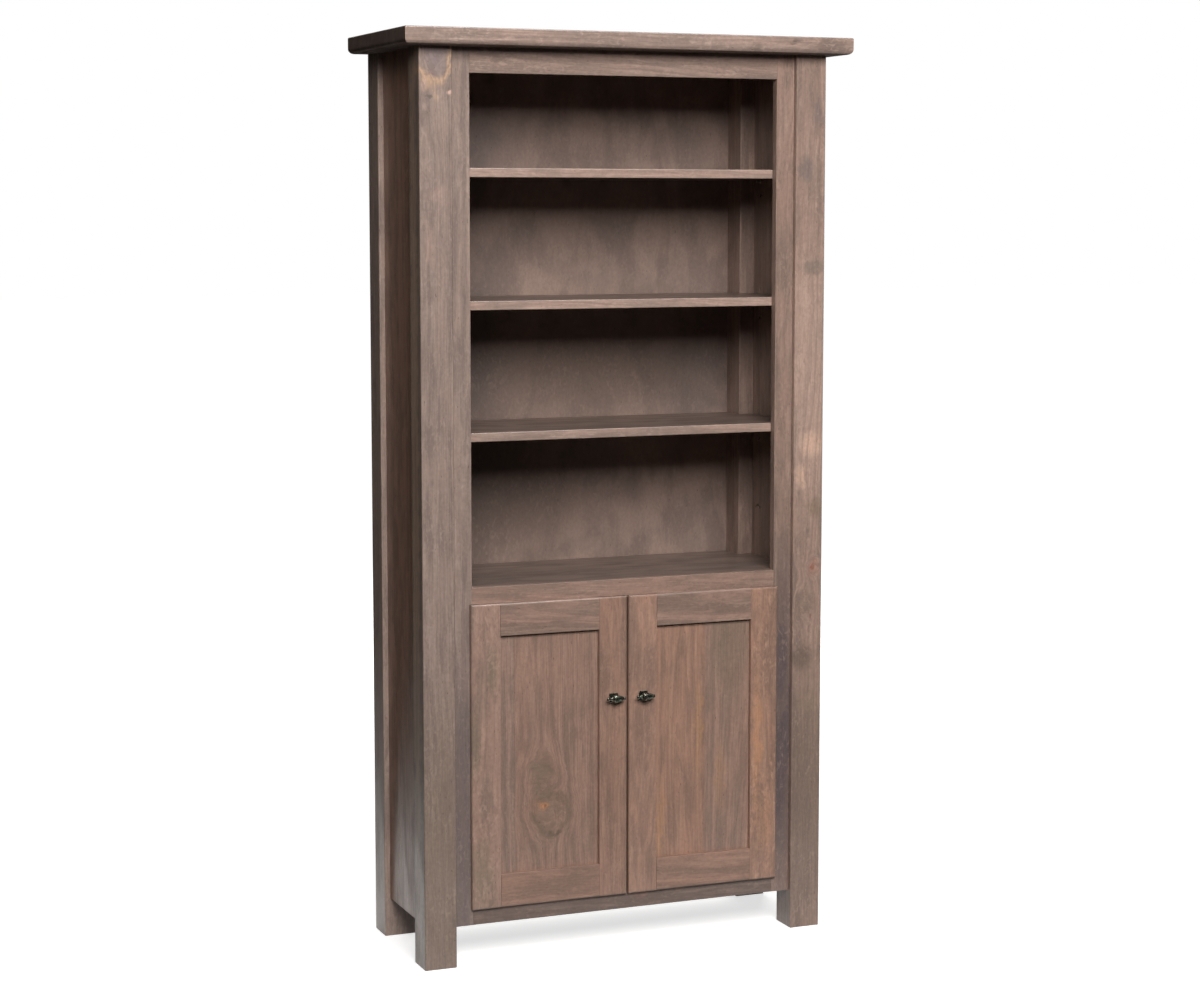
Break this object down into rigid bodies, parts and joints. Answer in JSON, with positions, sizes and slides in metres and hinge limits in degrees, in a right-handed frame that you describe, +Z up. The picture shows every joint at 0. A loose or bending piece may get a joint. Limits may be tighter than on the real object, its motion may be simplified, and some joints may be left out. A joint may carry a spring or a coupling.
{
  "type": "bookcase with cabinet doors",
  "caption": "Tall post-and-panel hardwood bookcase with a recessed face frame, open adjustable shelves above and a lipped two-door cabinet below.",
  "frame": {"origin": "on the floor, under the middle of the whole object's bounding box, which the top slab sets", "axes": "+Z up, +X to the right seen from the front, -Y out of the front towards the user, +Y towards the wall"},
  "size_m": [0.998, 0.395, 1.936],
  "materials": {
    "case_wood": "grey-brown stained hardwood, satin lacquer",
    "door_wood": "grey-brown stained hardwood with a redder cast, satin lacquer",
    "shelf_wood": "grey-brown stained hardwood, satin lacquer",
    "back_board": "stained plywood, satin lacquer",
    "forged_bronze": "dark patinated bronze, hammered",
    "hinge_steel": "nickel-plated steel"
  },
  "bodies": {
    "case": {"top_panel": "case_wood", "front_left_post": "case_wood", "front_right_post": "case_wood", "rear_left_post": "case_wood", "rear_right_post": "case_wood", "side_panel_left": "case_wood", "side_panel_right": "case_wood", "back_board": "back_board", "frame_stile_left": "case_wood", "frame_stile_right": "case_wood", "frame_top_rail": "case_wood", "frame_middle_rail": "case_wood", "frame_bottom_rail": "case_wood", "fixed_deck": "shelf_wood", "cabinet_floor": "shelf_wood", "top_cleat_left": "case_wood", "top_cleat_right": "case_wood", "shelf_lower_pin_front_left": "hinge_steel", "shelf_lower_pin_front_right": "hinge_steel", "shelf_lower_pin_rear_left": "hinge_steel", "shelf_lower_pin_rear_right": "hinge_steel", "shelf_middle_pin_front_left": "hinge_steel", "shelf_middle_pin_front_right": "hinge_steel", "shelf_middle_pin_rear_left": "hinge_steel", "shelf_middle_pin_rear_right": "hinge_steel", "shelf_upper_pin_front_left": "hinge_steel", "shelf_upper_pin_front_right": "hinge_steel", "shelf_upper_pin_rear_left": "hinge_steel", "shelf_upper_pin_rear_right": "hinge_steel", "shelf_cabinet_pin_front_left": "hinge_steel", "shelf_cabinet_pin_front_right": "hinge_steel", "shelf_cabinet_pin_rear_left": "hinge_steel", "shelf_cabinet_pin_rear_right": "hinge_steel", "left_hinge_arm_lower": "hinge_steel", "left_hinge_arm_upper": "hinge_steel", "right_hinge_arm_lower": "hinge_steel", "right_hinge_arm_upper": "hinge_steel"},
    "left_door": {"left_door_lock_stile": "door_wood", "left_door_hinge_stile": "door_wood", "left_door_top_rail": "door_wood", "left_door_bottom_rail": "door_wood", "left_door_panel": "door_wood", "left_knob": "forged_bronze", "left_knob_plate": "forged_bronze", "left_hinge_cup_lower": "hinge_steel", "left_hinge_cup_upper": "hinge_steel"},
    "right_door": {"right_door_lock_stile": "door_wood", "right_door_hinge_stile": "door_wood", "right_door_top_rail": "door_wood", "right_door_bottom_rail": "door_wood", "right_door_panel": "door_wood", "right_knob": "forged_bronze", "right_knob_plate": "forged_bronze", "right_hinge_cup_lower": "hinge_steel", "right_hinge_cup_upper": "hinge_steel"},
    "lower_shelf": {"shelf_lower": "shelf_wood"},
    "middle_shelf": {"shelf_middle": "shelf_wood"},
    "upper_shelf": {"shelf_upper": "shelf_wood"},
    "cabinet_shelf": {"shelf_cabinet": "shelf_wood"}
  },
  "joints": [
    {"name": "left_door_hinge", "type": "hinge", "parent": "case", "child": "left_door", "pos_m": [-0.352, -0.1445, 0.44], "axis": [0, 0, -1], "range_deg": [0, 105]},
    {"name": "right_door_hinge", "type": "hinge", "parent": "case", "child": "right_door", "pos_m": [0.352, -0.1445, 0.44], "axis": [0, 0, 1], "range_deg": [0, 105]},
    {"name": "lower_shelf_lift", "type": "slide", "parent": "case", "child": "lower_shelf", "axis": [0, 0, 1], "range_m": [0, 0.032]},
    {"name": "middle_shelf_lift", "type": "slide", "parent": "case", "child": "middle_shelf", "axis": [0, 0, 1], "range_m": [0, 0.032]},
    {"name": "upper_shelf_lift", "type": "slide", "parent": "case", "child": "upper_shelf", "axis": [0, 0, 1], "range_m": [0, 0.032]},
    {"name": "cabinet_shelf_lift", "type": "slide", "parent": "case", "child": "cabinet_shelf", "axis": [0, 0, 1], "range_m": [0, 0.032]}
  ]
}
